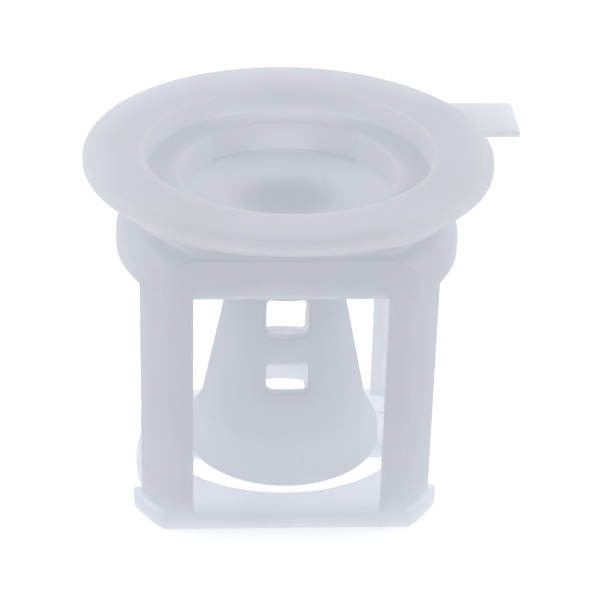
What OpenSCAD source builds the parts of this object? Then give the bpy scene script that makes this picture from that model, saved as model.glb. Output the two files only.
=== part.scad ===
// Washing machine filter: a flanged cup on a four-post cage with a slotted bell inside.
// One moulded solid. Millimetres. Z is up, the base rests on Z = 0 and the axis is X = Y = 0.
// The front, as photographed, faces -Y.

/* [Rim] */
// Outer diameter of the flange
flange_diameter = 80; // [72:0.5:90]
// Height from the base to the top of the flange
overall_height = 74; // [68:0.5:84]
// Thickness of the flange at its edge
flange_thickness = 3; // [2.4:0.1:4]
// Rounding of the flange's upper edge
flange_round = 1.8; // [0.6:0.1:2.2]

/* [Cup] */
// Diameter of the cup's mouth
mouth_diameter = 56.8; // [52:0.2:58]
// How far the mouth's edge lies below the flange top
mouth_drop = 0.6; // [0:0.1:1]
// How much the mouth narrows from its edge to the shelf, on the radius
mouth_taper = 0.6; // [0:0.1:1]
// Depth of the shelf below the flange top
shelf_depth = 5.1; // [4.5:0.1:5.4]
// Diameter of the deeper well inside the shelf
well_diameter = 42.6; // [38:0.2:43]
// Depth of the well's floor below the flange top
well_depth = 11.3; // [9:0.1:11.6]
// Thickness of the well's floor
floor_thickness = 1.9; // [1.6:0.1:2.4]
// Width of the shallow panel in the well's rear wall
panel_width = 29.5; // [20:0.5:30]
// Depth of that panel into the wall
panel_depth = 0.5; // [0.2:0.1:0.7]

/* [Collar] */
// Outer diameter of the collar above the cage
collar_diameter = 67.6; // [66.8:0.2:69]
// Distance from the flange top down to the collar's lower edge
collar_drop = 21.3; // [20:0.1:24]
// Height of the collar's straight lower band
collar_band = 3.3; // [2:0.1:4]
// Rounding of the collar's shoulder
collar_round = 5; // [4:0.1:6]
// Distance between the front and rear flat faces
flats_across = 47; // [46:0.2:48]
// Step back of the flats above the collar
flats_step = 0.7; // [0.3:0.1:0.9]
// Depth below the shelf at which the flats end
relief_depth = 2.4; // [1.8:0.1:3]
// Height left under the flange's edge by the slope above the flats
relief_edge = 0.8; // [0.4:0.1:1.2]

/* [Cage] */
// Diameter across the rounded outer corners of the posts
post_corner_diameter = 66.4; // [64:0.2:66.8]
// Distance across the outer sides of the posts
post_sides_across = 58; // [56:0.5:59]
// Wall thickness of the cage
cage_wall = 2.3; // [1.8:0.1:2.6]
// Width of the front window
front_window = 37.4; // [34:0.2:39]
// Width of the rear window
rear_window = 40.4; // [36:0.2:41]
// Width of each side window
side_window = 25; // [20:0.5:28]

/* [Base] */
// Thickness of the base plate
base_thickness = 4; // [3:0.1:5]
// Distance across the front ears of the base
front_ears_across = 61.4; // [60:0.2:63]
// Distance across the rear corners of the base
rear_ears_across = 59.4; // [59:0.2:62]
// Diameter across the cut corners of the base
base_corner_diameter = 68.4; // [67:0.2:70]
// Diameter of the rounded middle of each side
side_swell_diameter = 60.8; // [60:0.2:62]
// Gap between a front ear and a rear corner along each side
ear_gap = 26.8; // [24:0.2:28]
// How far the base reaches behind the cage
base_behind = 0.8; // [0:0.1:1.2]
// Radius of the drain opening's front edge
drain_arc_radius = 28.4; // [27:0.2:34]
// Distance of that edge in front of the axis
drain_front = 16.2; // [15:0.1:17]
// Distance of the drain opening's rear edge behind the axis
drain_rear = 2.1; // [1:0.1:4]
// Full width of the drain opening
drain_width = 49; // [46:0.5:50]

/* [Bell] */
// Outer diameter of the bell's lip
lip_diameter = 39.6; // [38:0.2:40]
// Height of the lip's lower edge
lip_bottom = 7.5; // [7:0.1:9]
// Height of the lip's straight band
lip_band = 4; // [3:0.1:5]
// Height of the flare above that band
lip_flare = 4.6; // [3.6:0.1:5.6]
// Outer diameter of the cone at the top of the flare
cone_foot_diameter = 34.2; // [33:0.2:35]
// Outer diameter of the cone under the well's floor
cone_top_diameter = 15.8; // [14:0.2:20]
// Wall thickness of the bell
bell_wall = 1.8; // [1.4:0.1:2]

/* [Bell slots] */
// Width of the two front slots
slot_width = 8.5; // [7:0.1:9]
// Height of the lower front slot's lower edge
lower_slot_bottom = 26.4; // [25:0.1:28]
// Height of the lower front slot
lower_slot_height = 6.1; // [5:0.1:7]
// Height of the upper front slot's lower edge
upper_slot_bottom = 37.8; // [36:0.1:39]
// Height of the upper front slot
upper_slot_height = 7.6; // [6:0.1:8]
// Width of the rear slot
rear_slot_width = 10; // [9:0.1:11]
// Height of the rear slot's lower edge
rear_slot_bottom = 24.8; // [24:0.1:27]
// Height of the rear slot
rear_slot_height = 8.7; // [7:0.1:9]
// Width of the notch in the lip's rear
notch_width = 11; // [9:0.5:13]
// Height of the notch's upper edge
notch_top = 10.3; // [9.8:0.1:11]
// Corner rounding of the slots
slot_round = 1.2; // [0.6:0.1:2]

/* [Tab] */
// Width of the tab along the depth of the part
tab_width = 14.5; // [12:0.5:16]
// Distance of the tab's middle behind the axis
tab_offset = 17.2; // [15:0.1:19]
// Distance of the tab's end from the axis
tab_reach = 46.8; // [44:0.1:50]
// Thickness of the tab
tab_thickness = 1.2; // [1:0.1:1.4]
// Height of the tab's top above the underside of the flange's edge
tab_rise = 1.1; // [0.9:0.1:1.4]

/* [Hidden] */
$fn = 96;
// Overlap of cutting shapes past the faces they cut
past = 1;
flange_r = flange_diameter / 2;
flange_under = overall_height - flange_thickness;
mouth_z = overall_height - mouth_drop;
shelf_z = overall_height - shelf_depth;
well_z = overall_height - well_depth;
floor_under = well_z - floor_thickness;
collar_r = collar_diameter / 2;
collar_bottom = overall_height - collar_drop;
collar_shoulder = collar_bottom + collar_band;
waist_r = collar_r - collar_round;
waist_z = collar_shoulder + collar_round;
flat_y = flats_across / 2;
neck_flat_y = flat_y - flats_step;
// Slope above the flats, from their upper end to the flange's edge and past it
relief_inner_z = shelf_z - relief_depth;
relief_outer_z = flange_under - relief_edge;
relief_slope = (relief_outer_z - relief_inner_z) / (flange_r - neck_flat_y);
relief_far = flange_r + past;
relief_far_z = relief_inner_z + relief_slope * (relief_far - neck_flat_y);
cavity_r = collar_r - cage_wall;
cavity_round = collar_round - cage_wall;
cavity_neck_r = waist_r - cage_wall;
tab_top = flange_under + tab_rise;
// Where the tab's rear edge meets the rounding of the flange
tab_root = sqrt(pow(flange_r - flange_round, 2) - pow(tab_offset + tab_width / 2, 2));
lip_r = lip_diameter / 2;
lip_top = lip_bottom + lip_band;
cone_foot = lip_top + lip_flare;
cone_top = floor_under + floor_thickness / 2;
// Drop of the inner corners of the flare that keeps its wall even
flare_drop = bell_wall / 4;
drain_centre = drain_arc_radius - drain_front;
// Where the notch's cutter begins, clear under the lip
notch_start = lip_bottom - 2 * slot_round;

// Section of the flange, its underside cone and the collar, turned about the axis
module outer_section() {
  polygon([
    [0, collar_bottom],
    [collar_r, collar_bottom],
    [collar_r, collar_shoulder],
    [waist_r, collar_shoulder],
    [waist_r, waist_z],
    [flange_r, flange_under],
    [flange_r, overall_height - flange_round],
    [flange_r - flange_round, overall_height - flange_round],
    [flange_r - flange_round, overall_height],
    [mouth_diameter / 2, mouth_z],
    [0, mouth_z]
  ]);
  intersection() {
    translate([flange_r - flange_round, overall_height - flange_round])
      circle(r = flange_round);
    translate([0, overall_height - flange_round])
      square([flange_r, flange_round]);
  }
  intersection() {
    translate([waist_r, collar_shoulder])
      circle(r = collar_round);
    translate([0, collar_shoulder])
      square([collar_r, collar_round]);
  }
}

// Space inside the cup: the tapered mouth, the shelf and the well
module cup_space() {
  rotate_extrude()
    polygon([
      [0, well_z],
      [well_diameter / 2, well_z],
      [well_diameter / 2, shelf_z],
      [mouth_diameter / 2 - mouth_taper, shelf_z],
      [mouth_diameter / 2, mouth_z],
      [mouth_diameter / 2, overall_height + past],
      [0, overall_height + past]
    ]);
  intersection() {
    translate([0, 0, well_z])
      cylinder(r = well_diameter / 2 + panel_depth, h = shelf_z - well_z);
    translate([-panel_width / 2, 0, well_z])
      cube([panel_width, flange_r, shelf_z - well_z]);
  }
}

// Space under the well's floor, inside the collar
module collar_space() {
  intersection() {
    rotate_extrude()
      union() {
        translate([0, collar_bottom - past])
          square([cavity_r, collar_band + past]);
        translate([0, collar_shoulder - past])
          square([cavity_r - cavity_round, cavity_round + past]);
        intersection() {
          translate([cavity_r - cavity_round, collar_shoulder])
            circle(r = cavity_round);
          translate([0, collar_shoulder])
            square([cavity_r, cavity_round]);
        }
        translate([0, collar_shoulder])
          square([cavity_neck_r, floor_under - collar_shoulder]);
      }
    translate([-flange_r, cage_wall - flat_y, collar_bottom - past])
      cube([flange_diameter, flats_across - 2 * cage_wall, overall_height]);
  }
}

// What is cut away in front of the cup, and behind it, to leave the flat faces
module flat_relief() {
  rotate([90, 0, 90])
    translate([0, 0, -flange_r - past])
      linear_extrude(height = flange_diameter + 2 * past)
        polygon([
          [flat_y, collar_bottom - past],
          [flat_y, waist_z],
          [neck_flat_y, waist_z],
          [neck_flat_y, relief_inner_z],
          [relief_far, relief_far_z],
          [relief_far, collar_bottom - past]
        ]);
}

// The flanged cup with its collar
module cup_and_collar() {
  difference() {
    rotate_extrude()
      outer_section();
    cup_space();
    collar_space();
    flat_relief();
    mirror([0, 1, 0])
      flat_relief();
  }
}

// Outline of the cage seen from above, drawn in by a wall
module cage_outline(inset) {
  intersection() {
    circle(r = post_corner_diameter / 2 - inset);
    square([post_sides_across - 2 * inset, flats_across - 2 * inset], center = true);
  }
}

// Outline of the window that runs through the cage from front to rear
module window_outline() {
  polygon([
    [-front_window / 2, -flange_r],
    [front_window / 2, -flange_r],
    [front_window / 2, -flat_y],
    [rear_window / 2, flat_y],
    [rear_window / 2, flange_r],
    [-rear_window / 2, flange_r],
    [-rear_window / 2, flat_y],
    [-front_window / 2, -flat_y]
  ]);
}

// The four posts: what the windows leave of the cage wall
module posts() {
  translate([0, 0, base_thickness / 2])
    linear_extrude(height = collar_shoulder - base_thickness / 2)
      difference() {
        cage_outline(0);
        cage_outline(cage_wall);
        window_outline();
        square([flange_diameter, side_window], center = true);
      }
}

// Outline of the base plate
module base_outline() {
  intersection() {
    circle(r = base_corner_diameter / 2);
    union() {
      translate([-front_ears_across / 2, -flat_y])
        square([front_ears_across, flat_y - ear_gap / 2]);
      translate([-post_sides_across / 2, -flat_y])
        square([post_sides_across, flats_across + base_behind]);
      translate([-rear_ears_across / 2, ear_gap / 2])
        square([rear_ears_across, flat_y + base_behind - ear_gap / 2]);
      intersection() {
        circle(d = side_swell_diameter);
        square([flange_diameter, ear_gap], center = true);
      }
    }
  }
}

// Outline of the drain opening in front of the base's middle
module drain_outline() {
  intersection() {
    translate([0, drain_centre])
      circle(r = drain_arc_radius);
    translate([-drain_width / 2, -flange_r])
      square([drain_width, flange_r + drain_rear]);
  }
}

// The base plate with its drain opening
module base_plate() {
  linear_extrude(height = base_thickness)
    difference() {
      base_outline();
      drain_outline();
    }
}

// A slot with rounded corners, cut from the axis towards -Y
module slot(width, height, bottom) {
  translate([0, 0, bottom])
    rotate([90, 0, 0])
      linear_extrude(height = flange_r)
        union() {
          translate([slot_round - width / 2, 0])
            square([width - 2 * slot_round, height]);
          translate([-width / 2, slot_round])
            square([width, height - 2 * slot_round]);
          for (side = [-1, 1])
            for (level = [slot_round, height - slot_round])
              translate([side * (width / 2 - slot_round), level])
                circle(r = slot_round);
        }
}

// The bell that hangs from the well's floor
module bell() {
  difference() {
    rotate_extrude()
      polygon([
        [lip_r - bell_wall, lip_bottom],
        [lip_r, lip_bottom],
        [lip_r, lip_top],
        [cone_foot_diameter / 2, cone_foot],
        [cone_top_diameter / 2, cone_top],
        [cone_top_diameter / 2 - bell_wall, cone_top],
        [cone_foot_diameter / 2 - bell_wall, cone_foot - flare_drop],
        [lip_r - bell_wall, lip_top - flare_drop]
      ]);
    slot(slot_width, lower_slot_height, lower_slot_bottom);
    slot(slot_width, upper_slot_height, upper_slot_bottom);
    mirror([0, 1, 0]) {
      slot(rear_slot_width, rear_slot_height, rear_slot_bottom);
      slot(notch_width, notch_top - notch_start, notch_start);
    }
  }
}

// The thin tab behind the flange
module tab() {
  difference() {
    translate([tab_root, tab_offset - tab_width / 2, tab_top - tab_thickness])
      cube([tab_reach - tab_root, tab_width, tab_thickness]);
    translate([0, 0, tab_top - tab_thickness - past])
      cylinder(r = flange_r - flange_round, h = tab_thickness + 2 * past);
  }
}

module filter_body() {
  color("#DDE2EA")
    union() {
      cup_and_collar();
      posts();
      base_plate();
      bell();
      tab();
    }
}

filter_body();
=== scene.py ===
import logging
import math
from collections.abc import Callable, Iterable, Sequence
from dataclasses import dataclass, field
from enum import Enum
from typing import Any

import bpy
from mathutils import Matrix, Vector


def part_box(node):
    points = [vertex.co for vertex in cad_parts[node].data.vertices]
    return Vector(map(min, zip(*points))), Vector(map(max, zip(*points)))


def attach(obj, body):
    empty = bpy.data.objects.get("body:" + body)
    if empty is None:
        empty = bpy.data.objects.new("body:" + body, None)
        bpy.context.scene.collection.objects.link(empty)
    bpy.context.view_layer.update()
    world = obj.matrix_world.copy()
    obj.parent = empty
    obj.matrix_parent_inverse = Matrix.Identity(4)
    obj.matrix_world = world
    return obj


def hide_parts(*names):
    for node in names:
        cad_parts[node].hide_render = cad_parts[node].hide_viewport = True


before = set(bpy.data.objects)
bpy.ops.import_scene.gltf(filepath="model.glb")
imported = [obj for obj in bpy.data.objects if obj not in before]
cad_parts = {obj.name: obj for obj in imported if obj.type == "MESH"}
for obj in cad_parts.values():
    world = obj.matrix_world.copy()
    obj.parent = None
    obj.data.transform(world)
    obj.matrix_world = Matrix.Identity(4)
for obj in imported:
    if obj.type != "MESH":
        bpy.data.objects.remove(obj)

log = logging.getLogger("washing_machine_filter")

MM = 0.001
# How far a cutter reaches past the face it cuts, in millimetres
PAST = 1.0
# How many steps a full turn, a rounded corner and a softened edge have
ROUND_STEPS = 168
FILLET_STEPS = 5
SOFT_STEPS = 3
# How near the axis a point counts as on it, and how near two points count as one, in metres
ON_AXIS = 1e-9
SAME_POINT = 1e-7
# How much the ends of a level edge may differ in height, in millimetres
LEVEL = 0.01
NODE = "filter_body"


class Axis(Enum):
    """The axis along which an outline is extruded."""

    X = "x"
    Y = "y"
    Z = "z"


class Join(Enum):
    """How one solid is combined with another."""

    ADD = "UNION"
    CUT = "DIFFERENCE"
    KEEP = "INTERSECT"


@dataclass(frozen=True)
class Corner:
    """A corner of an outline in millimetres, and the radius that rounds it."""

    x: float
    y: float
    radius: float = 0.0

    def mirrored(self) -> "Corner":
        """Gives the same corner on the other side of the middle line."""
        return Corner(-self.x, self.y, self.radius)


def arc(
    radius: float, start: float, end: float, steps: int = 12, centre: tuple[float, float] = (0.0, 0.0)
) -> list[Corner]:
    """Lays points on an arc.

    Args:
        radius: The arc's radius in millimetres.
        start: The angle of the first point, in radians.
        end: The angle of the last point, in radians.
        steps: How many straight pieces the arc has.
        centre: The x and y of the arc's centre in millimetres.

    Returns:
        The arc's points, as corners with no rounding of their own.
    """
    x, y = centre
    turns = [start + (end - start) * step / steps for step in range(steps + 1)]
    return [Corner(x + radius * math.cos(turn), y + radius * math.sin(turn)) for turn in turns]


def rounded(corners: Sequence[Corner]) -> list[tuple[float, float]]:
    """Draws a closed outline with its corners rounded.

    Args:
        corners: The outline's corners in order.

    Returns:
        The outline's points in millimetres.
    """
    points: list[tuple[float, float]] = []
    for index, corner in enumerate(corners):
        here = Vector((corner.x, corner.y))
        if corner.radius == 0.0:
            points.append((here.x, here.y))
            continue
        before, after = corners[index - 1], corners[(index + 1) % len(corners)]
        back = (Vector((before.x, before.y)) - here).normalized()
        ahead = (Vector((after.x, after.y)) - here).normalized()
        half = back.angle(ahead) / 2
        centre = here + (back + ahead).normalized() * corner.radius / math.sin(half)
        arm = here + back * corner.radius / math.tan(half) - centre
        sweep = math.pi - 2 * half
        side = 1.0 if back.x * ahead.y - back.y * ahead.x < 0 else -1.0
        for step in range(FILLET_STEPS + 1):
            turned = centre + Matrix.Rotation(side * sweep * step / FILLET_STEPS, 2) @ arm
            points.append((turned.x, turned.y))
    return points


def deselect() -> None:
    """Leaves edit mode and deselects every object."""
    if bpy.context.mode != "OBJECT":
        bpy.ops.object.mode_set(mode="OBJECT")
    bpy.ops.object.select_all(action="DESELECT")


def activate(piece: bpy.types.Object) -> None:
    """Makes one piece the only selected and active object.

    Args:
        piece: The piece that is selected.
    """
    deselect()
    piece.select_set(True)
    bpy.context.view_layer.objects.active = piece


def add_loop(name: str, places: Sequence[Vector]) -> bpy.types.Object:
    """Adds a ring and sets its points on a closed outline.

    Args:
        name: The new object's name.
        places: The outline's points in millimetres, in order.

    Returns:
        The ring, active and in object mode.
    """
    deselect()
    bpy.ops.mesh.primitive_circle_add(vertices=len(places), radius=MM, fill_type="NOTHING")
    loop = bpy.context.active_object
    loop.name = name
    for vertex, place in zip(loop.data.vertices, places):
        vertex.co = place * MM
    return loop


def lathe(name: str, section: Sequence[Corner]) -> bpy.types.Object:
    """Turns a closed section about the Z axis.

    Args:
        name: The new object's name.
        section: The section's corners, with x as the radius and y as the height.

    Returns:
        The turned solid.
    """
    solid = add_loop(name, [Vector((x, 0.0, y)) for x, y in rounded(section)])
    for edge in solid.data.edges:
        edge.select = all(abs(solid.data.vertices[end].co.x) < ON_AXIS for end in edge.vertices)
    on_axis = any(edge.select for edge in solid.data.edges)
    if on_axis:
        for vertex in solid.data.vertices:
            vertex.select = abs(vertex.co.x) < ON_AXIS
    bpy.ops.object.mode_set(mode="EDIT")
    bpy.ops.mesh.select_mode(type="EDGE")
    if on_axis:
        bpy.ops.mesh.delete(type="EDGE_FACE")
    bpy.ops.mesh.select_mode(type="VERT")
    bpy.ops.mesh.select_all(action="SELECT")
    bpy.ops.mesh.spin(steps=ROUND_STEPS, angle=math.tau, center=(0, 0, 0), axis=(0, 0, 1))
    close_up()
    return solid


def close_up() -> None:
    """Merges the seam of the mesh in edit mode, turns its faces outwards and leaves edit mode."""
    bpy.ops.mesh.select_all(action="SELECT")
    bpy.ops.mesh.remove_doubles(threshold=SAME_POINT)
    bpy.ops.mesh.normals_make_consistent(inside=False)
    bpy.ops.object.mode_set(mode="OBJECT")


def prism(
    name: str, outline: Sequence[Corner], low: float, high: float, axis: Axis = Axis.Z
) -> bpy.types.Object:
    """Extrudes a closed outline along an axis.

    Args:
        name: The new object's name.
        outline: The outline's corners: x and y for Z, y and z for X, x and z for Y.
        low: Where the solid begins along the axis, in millimetres.
        high: Where it ends.
        axis: The axis it is extruded along.

    Returns:
        The extruded solid.
    """
    setters: dict[Axis, Callable[[float, float], Vector]] = {
        Axis.X: lambda a, b: Vector((low, a, b)),
        Axis.Y: lambda a, b: Vector((a, low, b)),
        Axis.Z: lambda a, b: Vector((a, b, low)),
    }
    directions = {Axis.X: (1, 0, 0), Axis.Y: (0, 1, 0), Axis.Z: (0, 0, 1)}
    solid = add_loop(name, [setters[axis](a, b) for a, b in rounded(outline)])
    bpy.ops.object.mode_set(mode="EDIT")
    bpy.ops.mesh.select_all(action="SELECT")
    bpy.ops.mesh.edge_face_add()
    way = Vector(directions[axis]) * (high - low) * MM
    bpy.ops.mesh.extrude_region_move(TRANSFORM_OT_translate={"value": way})
    close_up()
    return solid


def split_faces(piece: bpy.types.Object) -> None:
    """Splits a piece's faces into triangles, so that no later cut leaves a face with several holes.

    Args:
        piece: The piece whose faces are split.
    """
    activate(piece)
    bpy.ops.object.mode_set(mode="EDIT")
    bpy.ops.mesh.select_all(action="SELECT")
    bpy.ops.mesh.quads_convert_to_tris(quad_method="BEAUTY", ngon_method="BEAUTY")
    bpy.ops.object.mode_set(mode="OBJECT")


def combine(target: bpy.types.Object, others: Iterable[bpy.types.Object], join: Join) -> bpy.types.Object:
    """Combines a solid with others, which are used up.

    Args:
        target: The solid that is changed.
        others: The solids that are added to it or cut from it.
        join: How they are combined.

    Returns:
        The changed solid.
    """
    for other in others:
        activate(target)
        modifier = target.modifiers.new(join.name.lower(), "BOOLEAN")
        modifier.operation = join.value
        modifier.solver = "MANIFOLD"
        modifier.object = other
        bpy.ops.object.modifier_apply(modifier=modifier.name)
        bpy.data.objects.remove(other)
    return target


def is_level(first: Vector, second: Vector) -> bool:
    """Says whether the edge between two places, in millimetres, lies level."""
    return abs(first.z - second.z) < LEVEL


def soften(
    piece: bpy.types.Object, radius: float, chosen: Callable[[Vector, Vector], bool], angle: float = 40.0
) -> None:
    """Rounds the chosen sharp edges of a piece.

    Args:
        piece: The piece whose edges are rounded.
        radius: The rounding in millimetres.
        chosen: Says from an edge's two ends, in millimetres, whether it is rounded.
        angle: How far two faces turn, in degrees, before the edge between them is sharp.
    """
    activate(piece)
    bpy.ops.object.mode_set(mode="EDIT")
    bpy.ops.mesh.select_mode(type="EDGE")
    bpy.ops.mesh.select_all(action="DESELECT")
    bpy.ops.mesh.edges_select_sharp(sharpness=math.radians(angle))
    bpy.ops.object.mode_set(mode="OBJECT")
    places = [vertex.co / MM for vertex in piece.data.vertices]
    for edge in piece.data.edges:
        first, second = (places[end] for end in edge.vertices)
        edge.select = edge.select and chosen(first, second)
    wanted = {end for edge in piece.data.edges if edge.select for end in edge.vertices}
    for vertex in piece.data.vertices:
        vertex.select = vertex.index in wanted
    for face in piece.data.polygons:
        face.select = False
    bpy.ops.object.mode_set(mode="EDIT")
    bpy.ops.mesh.bevel(offset=radius * MM, segments=SOFT_STEPS, affect="EDGES", clamp_overlap=False)
    bpy.ops.object.mode_set(mode="OBJECT")


def report(piece: bpy.types.Object) -> None:
    """Logs a piece's name and how many faces it has."""
    log.info("%s: %d faces", piece.name, len(piece.data.polygons))


@dataclass
class FlangedCup:
    """The wide flange with its cup, the cone under it, the neck and the collar. Millimetres."""

    flange_radius: float
    top: float
    flange_edge: float = 3.0
    flange_round: float = 1.8
    mouth_radius: float = 28.4
    mouth_drop: float = 0.6
    mouth_taper: float = 0.6
    shelf_depth: float = 5.1
    well_radius: float = 21.3
    well_depth: float = 11.3
    floor: float = 1.9
    panel_half_width: float = 14.75
    panel_depth: float = 0.5
    collar_radius: float = 33.8
    collar_drop: float = 21.3
    collar_band: float = 3.3
    shoulder: float = 5.0
    flat: float = 23.5
    flat_step: float = 0.7
    relief_depth: float = 2.4
    relief_edge: float = 0.8
    wall: float = 2.3
    well_round: float = 0.7
    shelf_round: float = 0.8
    groove_round: float = 1.0
    inner_round: float = 0.6
    edge_round: float = 0.5
    collar_edge_round: float = 0.4
    step_round: float = 0.3
    step_rise: float = 0.05
    panel_sill: float = 0.25
    marks: tuple[tuple[float, float], ...] = ((0.8, 12.1), (7.6, 6.2))
    mark_radius: float = 0.7
    mark_depth: float = 0.12
    mark_steps: int = 24

    @property
    def collar_bottom(self) -> float:
        """The height of the collar's lower edge."""
        return self.top - self.collar_drop

    @property
    def floor_underside(self) -> float:
        """The height of the underside of the well's floor."""
        return self.top - self.well_depth - self.floor

    @property
    def shoulder_start(self) -> float:
        """The height at which the collar begins to round in."""
        return self.collar_bottom + self.collar_band

    @property
    def waist(self) -> float:
        """The height of the crease between the shoulder and the flange's cone, before it is rounded."""
        return self.shoulder_start + self.shoulder

    def waist_line(self) -> list[Corner]:
        """Draws the rounded groove at the waist and the collar's round shoulder, from the top down.

        Returns:
            The line's points, as corners with no rounding of their own.
        """
        shoulder_centre = Vector((self.collar_radius - self.shoulder, self.shoulder_start))
        crease = shoulder_centre + Vector((0.0, self.shoulder))
        up_cone = (Vector((self.flange_radius, self.top - self.flange_edge)) - crease).normalized()
        off_cone = Vector((up_cone.y, -up_cone.x))
        # The groove touches both the cone and the shoulder, which gives how far up the cone it reaches
        rise = self.shoulder * up_cone.y
        reach = math.sqrt(rise ** 2 + 2 * self.shoulder * self.groove_round * (1 + up_cone.x)) - rise
        groove_centre = crease + up_cone * reach + off_cone * self.groove_round
        outwards = groove_centre - shoulder_centre
        meeting = math.atan2(outwards.y, outwards.x)
        start = math.atan2(-off_cone.y, -off_cone.x)
        groove = arc(self.groove_round, start, meeting + math.pi, steps=8, centre=tuple(groove_centre))
        shoulder = arc(self.shoulder, meeting, 0.0, centre=tuple(shoulder_centre))
        return groove + shoulder[1:]

    def body(self) -> bpy.types.Object:
        """Turns the outer shape with the cup already open.

        Returns:
            The turned solid.
        """
        well = self.top - self.well_depth
        shelf = self.top - self.shelf_depth
        return lathe("flanged_cup", [
            Corner(0.0, well),
            Corner(self.well_radius, well, self.well_round),
            Corner(self.well_radius, shelf, self.edge_round),
            Corner(self.mouth_radius - self.mouth_taper, shelf, self.shelf_round),
            Corner(self.mouth_radius, self.top - self.mouth_drop, self.edge_round),
            Corner(self.flange_radius, self.top, self.flange_round),
            Corner(self.flange_radius, self.top - self.flange_edge, self.edge_round),
            *self.waist_line(),
            Corner(self.collar_radius, self.collar_bottom, self.collar_edge_round),
            Corner(0.0, self.collar_bottom),
        ])

    def collar_space(self) -> bpy.types.Object:
        """Makes the space inside the collar, under the well's floor.

        Returns:
            The solid to cut away.
        """
        reach = self.collar_radius - self.wall
        inner = self.collar_radius - self.shoulder - self.wall
        ceiling = self.waist - self.wall
        space = lathe("collar_space", [
            Corner(0.0, self.collar_bottom - PAST),
            Corner(reach, self.collar_bottom - PAST),
            Corner(reach, ceiling, self.shoulder - self.wall),
            Corner(inner, ceiling),
            Corner(inner, self.floor_underside, self.inner_round),
            Corner(0.0, self.floor_underside),
        ])
        width = reach + PAST
        depth = self.flat - self.wall
        between = prism("between_flats", [
            Corner(-width, -depth),
            Corner(width, -depth),
            Corner(width, depth),
            Corner(-width, depth),
        ], self.collar_bottom - 2 * PAST, self.top)
        return combine(space, [between], Join.KEEP)

    def flat_relief(self, side: float) -> bpy.types.Object:
        """Makes what is cut away at the front, or behind, to leave the collar's flat face.

        Args:
            side: -1 for the front and 1 for the rear.

        Returns:
            The solid to cut away.
        """
        inner_top = self.top - self.shelf_depth - self.relief_depth
        outer_top = self.top - self.flange_edge - self.relief_edge
        neck = self.flat - self.flat_step
        far = self.flange_radius + PAST
        slope = (outer_top - inner_top) / (self.flange_radius - neck)
        return prism("flat_relief", [
            Corner(side * self.flat, self.collar_bottom - PAST),
            Corner(side * self.flat, self.waist),
            Corner(side * neck, self.waist + self.step_rise, self.step_round),
            Corner(side * neck, inner_top, self.shelf_round),
            Corner(side * far, inner_top + slope * (far - neck)),
            Corner(side * far, self.collar_bottom - PAST),
        ], -far, far, Axis.X)

    def panel(self) -> bpy.types.Object:
        """Makes the shallow recess in the rear wall of the well.

        Returns:
            The solid to cut away.
        """
        reach = self.well_radius + self.panel_depth
        half_turn = math.asin(self.panel_half_width / reach)
        outline = arc(reach, math.pi / 2 - half_turn, math.pi / 2 + half_turn, steps=24)
        outline.append(Corner(-self.panel_half_width, self.well_radius / 2))
        outline.append(Corner(self.panel_half_width, self.well_radius / 2))
        sill = self.top - self.well_depth + self.panel_sill
        return prism("panel", outline, sill, self.top - self.shelf_depth + PAST / 2)

    def floor_marks(self) -> list[bpy.types.Object]:
        """Makes the two shallow marks that ejector pins leave in the well's floor.

        Returns:
            The solids to cut away.
        """
        cutters: list[bpy.types.Object] = []
        middle = self.top - self.well_depth - self.mark_depth + PAST / 2
        for x, y in self.marks:
            deselect()
            bpy.ops.mesh.primitive_cylinder_add(
                vertices=self.mark_steps, radius=self.mark_radius * MM, depth=PAST * MM,
                location=(x * MM, y * MM, middle * MM),
            )
            bpy.ops.object.transform_apply(location=True, rotation=True, scale=True)
            cutters.append(bpy.context.active_object)
        return cutters

    def build(self) -> bpy.types.Object:
        """Builds the flanged cup with its collar."""
        cutters = [self.collar_space(), self.flat_relief(-1.0), self.flat_relief(1.0), self.panel()]
        return combine(self.body(), cutters + self.floor_marks(), Join.CUT)


@dataclass
class Posts:
    """The four posts of the cage: corner pieces of one wall. Millimetres."""

    flat: float
    top: float
    wall: float
    bottom: float = 2.0
    corner_radius: float = 33.2
    side: float = 29.0
    front_window: float = 18.7
    rear_window: float = 20.2
    side_window: float = 12.5
    edge_round: float = 0.5

    def outline(self, window: float) -> list[Corner]:
        """Draws the section of the post on the right and in front.

        Args:
            window: Half the width of the window beside it.

        Returns:
            The outline's corners.
        """
        outer = arc(
            self.corner_radius,
            -math.asin(self.flat / self.corner_radius),
            -math.acos(self.side / self.corner_radius),
        )
        inner_radius = self.corner_radius - self.wall
        inner = arc(
            inner_radius,
            -math.acos((self.side - self.wall) / inner_radius),
            -math.asin((self.flat - self.wall) / inner_radius),
        )
        return [
            Corner(window, -self.flat, self.edge_round),
            *outer,
            Corner(self.side, -self.side_window, self.edge_round),
            Corner(self.side - self.wall, -self.side_window, self.edge_round),
            *inner,
            Corner(window, self.wall - self.flat, self.edge_round),
        ]

    def build(self) -> list[bpy.types.Object]:
        """Builds the four posts.

        Returns:
            The posts, each a solid of its own.
        """
        posts: list[bpy.types.Object] = []
        for across in (-1.0, 1.0):
            for along, window in ((1.0, self.front_window), (-1.0, self.rear_window)):
                outline = [
                    Corner(across * corner.x, along * corner.y, corner.radius)
                    for corner in self.outline(window)
                ]
                posts.append(prism("post", outline, self.bottom, self.top))
        return posts


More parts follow.
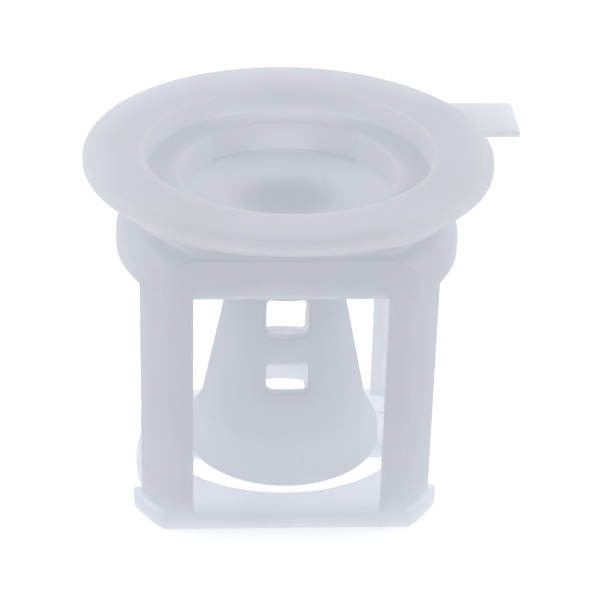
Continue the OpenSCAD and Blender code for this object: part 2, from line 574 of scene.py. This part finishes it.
@dataclass
class BasePlate:
    """The base plate with its ears, swollen sides and drain opening. Millimetres."""

    flat: float
    side: float
    thickness: float = 4.0
    corner_radius: float = 34.2
    front_ear: float = 30.7
    rear_ear: float = 29.7
    swell: float = 30.4
    ear_start: float = 13.4
    behind: float = 0.8
    drain_radius: float = 28.4
    drain_front: float = 16.2
    drain_rear: float = 2.1
    drain_half_width: float = 24.5
    drain_round: float = 0.8
    front_ear_round: float = 0.6
    rear_ear_round: float = 0.3
    edge_round: float = 0.45

    def outline(self) -> list[Corner]:
        """Draws the plate from above, first its right side from front to rear.

        Returns:
            The outline's corners.
        """
        flat_turn = math.asin(self.flat / self.corner_radius)
        back_turn = math.asin((self.flat + self.behind) / self.corner_radius)
        front_turn = math.acos(self.front_ear / self.corner_radius)
        rear_turn = math.acos(self.rear_ear / self.corner_radius)
        swell_turn = math.acos(self.side / self.swell)
        right = [
            *arc(self.corner_radius, -flat_turn, -front_turn, steps=6),
            Corner(self.front_ear, -self.ear_start, self.front_ear_round),
            Corner(self.side, -self.ear_start, self.front_ear_round),
            *arc(self.swell, -swell_turn, swell_turn, steps=10),
            Corner(self.side, self.ear_start, self.rear_ear_round),
            Corner(self.rear_ear, self.ear_start, self.rear_ear_round),
            *arc(self.corner_radius, rear_turn, back_turn, steps=6),
        ]
        return right + [corner.mirrored() for corner in reversed(right)]

    def drain(self) -> bpy.types.Object:
        """Makes the opening in front of the plate's middle.

        Returns:
            The solid to cut away.
        """
        centre = self.drain_radius - self.drain_front
        edge = math.acos(self.drain_half_width / self.drain_radius)
        outline = arc(self.drain_radius, edge - math.pi, -edge, steps=40, centre=(0.0, centre))
        outline.append(Corner(self.drain_half_width, self.drain_rear, self.drain_round))
        outline.append(Corner(-self.drain_half_width, self.drain_rear, self.drain_round))
        return prism("drain", outline, -PAST, self.thickness + PAST)

    def build(self) -> bpy.types.Object:
        """Builds the plate with softened edges.

        Returns:
            The plate.
        """
        plate = combine(prism("base_plate", self.outline(), 0.0, self.thickness), [self.drain()], Join.CUT)
        soften(plate, self.edge_round, is_level)
        split_faces(plate)
        return plate


@dataclass
class Bell:
    """The hollow bell that hangs from the well's floor. Millimetres."""

    top: float
    lip_radius: float = 19.8
    lip_bottom: float = 7.5
    lip_band: float = 4.0
    flare: float = 4.6
    foot_radius: float = 17.1
    top_radius: float = 7.9
    wall: float = 1.8
    inner_round: float = 0.5
    outer_round: float = 0.8
    flare_round: float = 7.0
    foot_round: float = 9.0
    slot_round: float = 1.2
    front_slots: tuple[tuple[float, float, float], ...] = ((8.5, 26.4, 6.1), (8.5, 37.8, 7.6))
    rear_slots: tuple[tuple[float, float, float], ...] = ((10.0, 24.8, 8.7), (11.0, 5.1, 5.2))

    def slot(self, size: tuple[float, float, float], side: float) -> bpy.types.Object:
        """Makes a slot's cutter.

        Args:
            size: The slot's width, its lower edge's height and its own height.
            side: -1 for the front and 1 for the rear.

        Returns:
            The solid to cut away.
        """
        width, bottom, height = size
        outline = [
            Corner(-width / 2, bottom, self.slot_round),
            Corner(width / 2, bottom, self.slot_round),
            Corner(width / 2, bottom + height, self.slot_round),
            Corner(-width / 2, bottom + height, self.slot_round),
        ]
        low, high = sorted((0.0, side * self.lip_radius))
        return prism("slot", outline, low, high, Axis.Y)

    def build(self) -> bpy.types.Object:
        """Builds the bell with its slots and the notch in its lip.

        Returns:
            The bell.
        """
        lip_top = self.lip_bottom + self.lip_band
        foot = lip_top + self.flare
        # The flare's inner corners lie a little lower, which keeps its wall even
        inner_drop = self.wall / 4
        bell = lathe("bell", [
            Corner(self.lip_radius - self.wall, self.lip_bottom, self.inner_round),
            Corner(self.lip_radius, self.lip_bottom, self.outer_round),
            Corner(self.lip_radius, lip_top, self.flare_round),
            Corner(self.foot_radius, foot, self.foot_round),
            Corner(self.top_radius, self.top),
            Corner(self.top_radius - self.wall, self.top),
            Corner(self.foot_radius - self.wall, foot - inner_drop, self.foot_round),
            Corner(self.lip_radius - self.wall, lip_top - inner_drop, self.flare_round),
        ])
        cutters = [self.slot(size, -1.0) for size in self.front_slots]
        cutters += [self.slot(size, 1.0) for size in self.rear_slots]
        return combine(bell, cutters, Join.CUT)


@dataclass
class Tab:
    """The thin tab beside the flange. Millimetres."""

    reach: float
    flange_underside: float
    root: float = 31.0
    rise: float = 1.1
    offset: float = 17.2
    width: float = 14.5
    thickness: float = 1.2
    corner_round: float = 0.5
    edge_round: float = 0.25

    def build(self) -> bpy.types.Object:
        """Builds the tab from a cube with softened edges.

        Returns:
            The tab.
        """
        deselect()
        height = self.flange_underside + self.rise - self.thickness / 2
        middle = Vector(((self.root + self.reach) / 2, self.offset, height))
        bpy.ops.mesh.primitive_cube_add(size=MM, location=middle * MM)
        tab = bpy.context.active_object
        tab.name = "tab"
        tab.scale = (self.reach - self.root, self.width, self.thickness)
        bpy.ops.object.transform_apply(location=True, rotation=True, scale=True)
        soften(tab, self.corner_round, lambda first, second: not is_level(first, second))
        soften(tab, self.edge_round, is_level)
        return tab


def linear(code: str) -> tuple[float, float, float, float]:
    """Turns an sRGB hex colour into linear values.

    Args:
        code: The colour as six hex digits after a hash.

    Returns:
        Red, green, blue and alpha.
    """
    shares = [int(code[start:start + 2], 16) / 255 for start in (1, 3, 5)]
    red, green, blue = (
        share / 12.92 if share <= 0.04045 else ((share + 0.055) / 1.055) ** 2.4 for share in shares
    )
    return red, green, blue, 1.0


def add_node(
    tree: bpy.types.NodeTree,
    kind: str,
    settings: dict[str, Any],
    links: dict[str | int, bpy.types.NodeSocket],
) -> bpy.types.Node:
    """Adds a shader node with its settings and links.

    Args:
        tree: The material's node tree.
        kind: The node's type name.
        settings: Values by the name of an input socket or of the node's own property.
        links: The sockets that feed its inputs, by the input's name, or by its number where names repeat.

    Returns:
        The new node.
    """
    node = tree.nodes.new(kind)
    for name, value in settings.items():
        if name in node.inputs:
            node.inputs[name].default_value = value
        else:
            setattr(node, name, value)
    for entry, source in links.items():
        tree.links.new(source, node.inputs[entry])
    return node


def blank_material(name: str) -> bpy.types.Material:
    """Makes a material that has no nodes yet.

    Args:
        name: The material's name.

    Returns:
        The new material.
    """
    material = bpy.data.materials.new(name)
    material.use_nodes = True
    material.node_tree.nodes.clear()
    return material


@dataclass(frozen=True)
class MilkyPolypropylene:
    """Injection moulded polypropylene with no pigment: milky, faintly bluish, with a satin skin."""

    name: str = "milky_polypropylene"
    clear: str = "#D3D6DC"
    cloudy: str = "#CDCFD3"
    cloud_mm: float = 22.0
    cloud_band: tuple[float, float] = (0.35, 0.65)
    haze_mm: float = 6.0
    polished: float = 0.36
    worn: float = 0.5
    grain_mm: float = 0.5
    grain_depth_mm: float = 0.02
    grain_strength: float = 0.06
    edge_mm: float = 0.6
    ior: float = 1.49
    depth_mm: float = 9.0
    depth_by_colour: tuple[float, float, float] = (1.0, 1.02, 1.1)
    passed: str = "#F9FAFC"
    passed_share: float = 0.6
    thin_share: float = 0.78
    bell_mm: float = 20.5
    cage_mm: float = 23.5
    plate_mm: float = 4.5
    lip_mm: float = 7.0

    def milkiness(self, tree: bpy.types.NodeTree, place: bpy.types.NodeSocket) -> bpy.types.NodeSocket:
        """Draws the clouds of the plastic's colour.

        Args:
            tree: The material's node tree.
            place: The place on the piece.

        Returns:
            The colour.
        """
        # The melt cools unevenly, so the milkiness drifts over a few centimetres
        cloud = add_node(
            tree, "ShaderNodeTexNoise", {"Scale": 1 / (self.cloud_mm * MM), "Detail": 2.0}, {"Vector": place}
        )
        colour = add_node(tree, "ShaderNodeValToRGB", {}, {"Fac": cloud.outputs["Fac"]})
        stops = colour.color_ramp.elements
        for stop, position, shade in zip(stops, self.cloud_band, (self.cloudy, self.clear)):
            stop.position = position
            stop.color = linear(shade)
        return colour.outputs["Color"]

    def sheen(self, tree: bpy.types.NodeTree, place: bpy.types.NodeSocket) -> bpy.types.NodeSocket:
        """Draws where the skin is glossier and where it is duller.

        Args:
            tree: The material's node tree.
            place: The place on the piece.

        Returns:
            The roughness.
        """
        # The mould's polish wore unevenly, so the sheen changes from place to place
        haze = add_node(
            tree, "ShaderNodeTexNoise", {"Scale": 1 / (self.haze_mm * MM), "Detail": 3.0}, {"Vector": place}
        )
        roughness = add_node(
            tree, "ShaderNodeMapRange", {"To Min": self.polished, "To Max": self.worn},
            {"Value": haze.outputs["Fac"]},
        )
        return roughness.outputs["Result"]

    def skin(self, tree: bpy.types.NodeTree, place: bpy.types.NodeSocket) -> bpy.types.NodeSocket:
        """Draws the fine grain of the surface, and softens the edges to the eye.

        Args:
            tree: The material's node tree.
            place: The place on the piece.

        Returns:
            The normal.
        """
        # Spark erosion leaves a grain of about 0.05 mm in the mould, drawn ten times as coarse to show
        grain = add_node(
            tree, "ShaderNodeTexNoise", {"Scale": 1 / (self.grain_mm * MM), "Detail": 2.0}, {"Vector": place}
        )
        edges = add_node(tree, "ShaderNodeBevel", {"samples": 8, "Radius": self.edge_mm * MM}, {})
        skin = add_node(
            tree, "ShaderNodeBump",
            {"Strength": self.grain_strength, "Distance": self.grain_depth_mm * MM},
            {"Height": grain.outputs["Fac"], "Normal": edges.outputs["Normal"]},
        )
        return skin.outputs["Normal"]

    def share(self, tree: bpy.types.NodeTree, place: bpy.types.NodeSocket) -> bpy.types.NodeSocket:
        """Sets how much of the light the wall passes.

        Args:
            tree: The material's node tree.
            place: The place on the piece.

        Returns:
            The share of the light that comes through.
        """
        # The bell and the well have the thinnest walls, so they pass more light than the cage and the plate
        height = add_node(tree, "ShaderNodeSeparateXYZ", {}, {"Vector": place}).outputs["Z"]
        above = add_node(
            tree, "ShaderNodeMapRange",
            {
                "From Min": self.plate_mm * MM,
                "From Max": self.lip_mm * MM,
                "To Min": self.passed_share,
                "To Max": self.thin_share,
            },
            {"Value": height},
        )
        across = add_node(tree, "ShaderNodeMapping", {"Scale": (1.0, 1.0, 0.0)}, {"Vector": place})
        radius = add_node(
            tree, "ShaderNodeVectorMath", {"operation": "LENGTH"}, {"Vector": across.outputs["Vector"]}
        )
        share = add_node(
            tree, "ShaderNodeMapRange",
            {"From Min": self.bell_mm * MM, "From Max": self.cage_mm * MM, "To Max": self.passed_share},
            {"Value": radius.outputs["Value"], "To Min": above.outputs["Result"]},
        )
        return share.outputs["Result"]

    def make(self) -> bpy.types.Material:
        """Makes the material.

        Returns:
            The material.
        """
        material = blank_material(self.name)
        tree = material.node_tree
        place = add_node(tree, "ShaderNodeTexCoord", {}, {}).outputs["Object"]
        normal = self.skin(tree, place)
        plastic = add_node(
            tree, "ShaderNodeBsdfPrincipled",
            {
                "IOR": self.ior,
                "Subsurface Weight": 1.0,
                "Subsurface Radius": self.depth_by_colour,
                "Subsurface Scale": self.depth_mm * MM,
            },
            {
                "Base Color": self.milkiness(tree, place),
                "Roughness": self.sheen(tree, place),
                "Normal": normal,
            },
        )
        # A wall of two millimetres passes most of the light that falls on its far side
        through = add_node(
            tree, "ShaderNodeBsdfTranslucent", {"Color": linear(self.passed)}, {"Normal": normal}
        )
        wall = add_node(
            tree, "ShaderNodeMixShader", {},
            {"Fac": self.share(tree, place), 1: plastic.outputs["BSDF"], 2: through.outputs["BSDF"]},
        )
        add_node(tree, "ShaderNodeOutputMaterial", {}, {"Surface": wall.outputs["Shader"]})
        return material


@dataclass(frozen=True)
class PaperSweep:
    """Matt white background paper on a light table, which shines through it."""

    name: str = "background_paper"
    white: str = "#F8F8F8"
    shade: str = "#F5F5F6"
    fibre_mm: float = 1.5
    roughness: float = 0.9
    light: str = "#FFFFFF"
    glow: float = 0.42

    def make(self) -> bpy.types.Material:
        """Makes the material.

        Returns:
            The material.
        """
        material = blank_material(self.name)
        tree = material.node_tree
        place = add_node(tree, "ShaderNodeTexCoord", {}, {}).outputs["Object"]
        # Pressed fibres vary the white by less than the eye can pick out, so the paper looks even and matt
        fibre = add_node(
            tree, "ShaderNodeTexNoise", {"Scale": 1 / (self.fibre_mm * MM), "Detail": 3.0}, {"Vector": place}
        )
        colour = add_node(tree, "ShaderNodeValToRGB", {}, {"Fac": fibre.outputs["Fac"]})
        for stop, shade in zip(colour.color_ramp.elements, (self.shade, self.white)):
            stop.color = linear(shade)
        paper = add_node(
            tree, "ShaderNodeBsdfPrincipled",
            {
                "Roughness": self.roughness,
                "Emission Color": linear(self.light),
                "Emission Strength": self.glow,
            },
            {"Base Color": colour.outputs["Color"]},
        )
        add_node(tree, "ShaderNodeOutputMaterial", {}, {"Surface": paper.outputs["BSDF"]})
        return material


@dataclass
class Moulding:
    """The whole filter: every sub-part joined into one moulding."""

    low: Vector
    high: Vector
    crease_degrees: float = 32.0
    finish: MilkyPolypropylene = field(default_factory=MilkyPolypropylene)

    def build(self) -> bpy.types.Object:
        """Builds the sub-parts, joins them and dresses the result.

        Returns:
            The finished moulding.
        """
        cup = FlangedCup(flange_radius=-self.low.x, top=self.high.z)
        posts = Posts(flat=cup.flat, top=cup.shoulder_start, wall=cup.wall)
        plate = BasePlate(flat=cup.flat, side=posts.side)
        bell = Bell(top=cup.floor_underside + cup.floor / 2)
        tab = Tab(reach=self.high.x, flange_underside=cup.top - cup.flange_edge)
        body = cup.build()
        report(body)
        for part in [*posts.build(), plate.build(), bell.build(), tab.build()]:
            report(part)
            combine(body, [part], Join.ADD)
        body.name = "filter_moulding"
        self.shade(body)
        return body

    def shade(self, body: bpy.types.Object) -> None:
        """Smooths the round faces, keeps the flat ones flat and gives the piece its material.

        Args:
            body: The joined moulding.
        """
        activate(body)
        bpy.ops.object.shade_smooth_by_angle(angle=math.radians(self.crease_degrees))
        modifier = body.modifiers.new("weighted", "WEIGHTED_NORMAL")
        modifier.keep_sharp = True
        bpy.ops.object.modifier_apply(modifier=modifier.name)
        body.data.materials.clear()
        body.data.materials.append(self.finish.make())


@dataclass(frozen=True)
class SoftBox:
    """A square white studio light: its place, what it faces, its side in metres and its power in watts."""

    name: str
    place: tuple[float, float, float]
    aim: tuple[float, float, float]
    side: float
    power: float

    def build(self) -> None:
        """Adds the light."""
        deselect()
        bpy.ops.object.light_add(type="AREA", location=self.place)
        light = bpy.context.active_object
        light.name = self.name
        light.data.shape = "SQUARE"
        light.data.size = self.side
        light.data.energy = self.power
        way = Vector(self.aim) - Vector(self.place)
        light.rotation_mode = "QUATERNION"
        light.rotation_quaternion = way.to_track_quat("-Z", "Y")


@dataclass
class Studio:
    """The pale floor, the soft lights and the even white surroundings."""

    floor_side: float = 4.0
    surround: str = "#FBFBFF"
    surround_strength: float = 0.44
    lights: tuple[SoftBox, ...] = (
        SoftBox("behind", (0.0, 0.8, 0.5), (0.0, 0.0, 0.05), 1.2, 2.0),
        SoftBox("left", (-0.42, 0.1, 0.26), (0.0, 0.0, 0.035), 0.3, 0.8),
        SoftBox("right", (0.42, 0.1, 0.26), (0.0, 0.0, 0.035), 0.3, 0.8),
    )

    def floor(self) -> None:
        """Lays the floor under the part."""
        deselect()
        bpy.ops.mesh.primitive_grid_add(x_subdivisions=2, y_subdivisions=2, size=self.floor_side)
        floor = bpy.context.active_object
        floor.name = "floor"
        floor.data.materials.append(PaperSweep().make())

    def surroundings(self) -> None:
        """Fills the room with even, faintly cool light."""
        world = bpy.data.worlds.new("light_tent")
        bpy.context.scene.world = world
        world.use_nodes = True
        world.node_tree.nodes.clear()
        light = add_node(
            world.node_tree, "ShaderNodeBackground",
            {"Color": linear(self.surround), "Strength": self.surround_strength}, {},
        )
        add_node(world.node_tree, "ShaderNodeOutputWorld", {}, {"Surface": light.outputs["Background"]})

    def build(self) -> None:
        """Sets up the studio."""
        self.floor()
        self.surroundings()
        for light in self.lights:
            light.build()
        bpy.context.scene.view_settings.view_transform = "Standard"


@dataclass(frozen=True)
class PhotoCamera:
    """The camera that took the photograph, as fitted to it. Millimetres and degrees."""

    elevation: float = 29.0
    yaw: float = 3.6
    roll: float = 1.53
    distance: float = 449.26
    focal_pixels: float = 2229.93
    frame_pixels: float = 600.0
    sensor: float = 36.0
    target_height: float = 40.0
    shift_right: float = 2.95
    shift_up: float = -0.35
    nearest: float = 10.0
    farthest: float = 20000.0

    def build(self) -> None:
        """Adds the camera and makes it the scene's own."""
        # The camera stands in front, on the side of -Y, and turns about the part from there
        azimuth = math.radians(-90.0 - self.yaw)
        rise = math.radians(self.elevation)
        level = Vector((math.cos(azimuth), math.sin(azimuth), 0.0))
        ahead = -(level * math.cos(rise) + Vector((0.0, 0.0, math.sin(rise))))
        right = ahead.cross(Vector((0.0, 0.0, 1.0))).normalized()
        above = right.cross(ahead)
        place = Vector((0.0, 0.0, self.target_height)) - ahead * self.distance
        place += right * self.shift_right + above * self.shift_up
        turn = math.radians(self.roll)
        rolled_right = right * math.cos(turn) + above * math.sin(turn)
        rolled_above = above * math.cos(turn) - right * math.sin(turn)
        deselect()
        bpy.ops.object.camera_add(location=place * MM)
        camera = bpy.context.active_object
        camera.name = "camera"
        camera.rotation_mode = "QUATERNION"
        axes = Matrix((rolled_right, rolled_above, -ahead)).transposed()
        camera.rotation_quaternion = axes.to_quaternion()
        camera.data.sensor_width = self.sensor
        camera.data.lens = self.focal_pixels * self.sensor / self.frame_pixels
        camera.data.clip_start = self.nearest * MM
        camera.data.clip_end = self.farthest * MM
        bpy.context.scene.camera = camera


def main() -> None:
    """Builds the filter, its studio and its camera."""
    logging.basicConfig(level=logging.INFO, format="%(name)s: %(message)s")
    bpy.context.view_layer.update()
    low, high = (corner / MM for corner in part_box(NODE))
    moulding = Moulding(low, high).build()
    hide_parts(NODE)
    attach(moulding, "root")
    report(moulding)
    Studio().build()
    PhotoCamera().build()
    log.info("studio and camera are set up")


if __name__ == "__main__":
    main()
